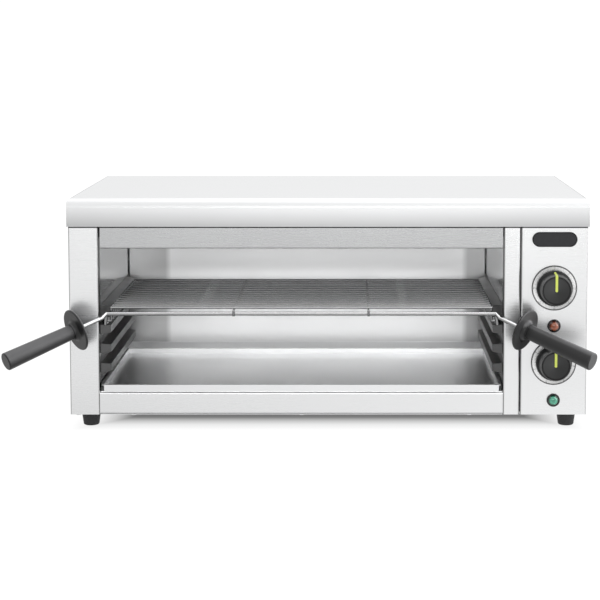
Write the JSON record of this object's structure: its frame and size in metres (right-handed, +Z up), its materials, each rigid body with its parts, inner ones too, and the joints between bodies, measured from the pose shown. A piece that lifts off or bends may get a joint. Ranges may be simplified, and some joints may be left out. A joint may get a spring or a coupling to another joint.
{
  "type": "cheese melter",
  "caption": "Countertop electric cheese melter: open-fronted sheet steel cabinet with a sliding wire rack on stamped guides, splayed handles, drip tray and rotary controls.",
  "frame": {"origin": "middle of the bounding box in plan, on the plane the feet stand on; the open cavity is centred on X = 0", "axes": "+X to the right seen from the front, along the length; +Y to the back; +Z up"},
  "size_m": [0.674, 0.402, 0.2744],
  "materials": {
    "cover_steel": "fine brushed stainless, light",
    "casing_steel": "fine brushed stainless, light",
    "fascia_steel": "fine brushed stainless",
    "lining_steel": "bright annealed stainless",
    "guide_steel": "stamped stainless",
    "rear_steel": "plain stainless",
    "tray_steel": "satin stainless",
    "wire_chrome": "bright plated wire",
    "tube_steel": "heat-darkened tube",
    "bush_steel": "plain steel",
    "ceramic": "glazed ceramic insulator",
    "handle_plastic": "dark moulded plastic",
    "knob_plastic": "dark moulded plastic",
    "pointer_plastic": "pale lime marker",
    "ring_aluminium": "spun aluminium scale ring",
    "spindle_steel": "turned steel",
    "control_plastic": "moulded control body",
    "copper": "copper bulb and capillary",
    "bezel_plastic": "black lamp bezel",
    "orange_lens": "translucent orange-red lens",
    "green_lens": "translucent green lens",
    "lamp_body_plastic": "black lamp housing",
    "plate_print": "bare plate",
    "block_plastic": "white terminal block",
    "inlet_plastic": "black cable bush",
    "foot_rubber": "black rubber",
    "screw_steel": "plain steel screws"
  },
  "bodies": {
    "casing": {"top_cover": "cover_steel", "left_side_panel": "casing_steel", "control_side_panel": "casing_steel", "right_post": "casing_steel", "upper_fascia": "fascia_steel", "front_sill": "casing_steel", "base_plate": "rear_steel", "rear_panel": "rear_steel", "cover_rails": "rear_steel", "nameplate": "plate_print", "cavity_back": "lining_steel", "cavity_floor": "lining_steel", "left_liner": "lining_steel", "right_liner": "lining_steel", "left_rack_guide": "guide_steel", "right_rack_guide": "guide_steel", "heat_reflector": "lining_steel", "heating_elements": "tube_steel", "element_hangers": "bush_steel", "element_bushes": "bush_steel", "element_terminals": "ceramic", "upper_scale_ring": "ring_aluminium", "lower_scale_ring": "ring_aluminium", "thermostat_body": "control_plastic", "timer_body": "control_plastic", "capillary_bulb": "copper", "lamp_bezels": "bezel_plastic", "heating_lamp_lens": "orange_lens", "power_lamp_lens": "green_lens", "lamp_housings": "lamp_body_plastic", "terminal_block": "block_plastic", "cable_inlet": "inlet_plastic", "feet": "foot_rubber", "foot_screws": "screw_steel", "casing_screws": "screw_steel"},
    "rack": {"rack_frame": "wire_chrome", "rack_wires": "wire_chrome", "left_wire_ends": "wire_chrome", "right_wire_ends": "wire_chrome", "left_guard": "handle_plastic", "right_guard": "handle_plastic", "left_grip": "handle_plastic", "right_grip": "handle_plastic"},
    "tray": {"drip_tray": "tray_steel"},
    "thermostat_dial": {"thermostat_knob": "knob_plastic", "thermostat_pointer": "pointer_plastic", "thermostat_spindle": "spindle_steel"},
    "timer_dial": {"timer_knob": "knob_plastic", "timer_pointer": "pointer_plastic", "timer_spindle": "spindle_steel"}
  },
  "joints": [
    {"name": "rack_slide", "type": "slide", "parent": "casing", "child": "rack", "axis": [0, -1, 0], "range_m": [0, 0.19]},
    {"name": "tray_slide", "type": "slide", "parent": "casing", "child": "tray", "axis": [0, -1, 0], "range_m": [0, 0.18]},
    {"name": "thermostat_turn", "type": "hinge", "parent": "casing", "child": "thermostat_dial", "pos_m": [0.29645, -0.11502, 0.1691], "axis": [0, 1, 0], "range_deg": [0, 270]},
    {"name": "timer_turn", "type": "hinge", "parent": "casing", "child": "timer_dial", "pos_m": [0.29645, -0.11502, 0.0807], "axis": [0, 1, 0], "range_deg": [0, 300]}
  ]
}
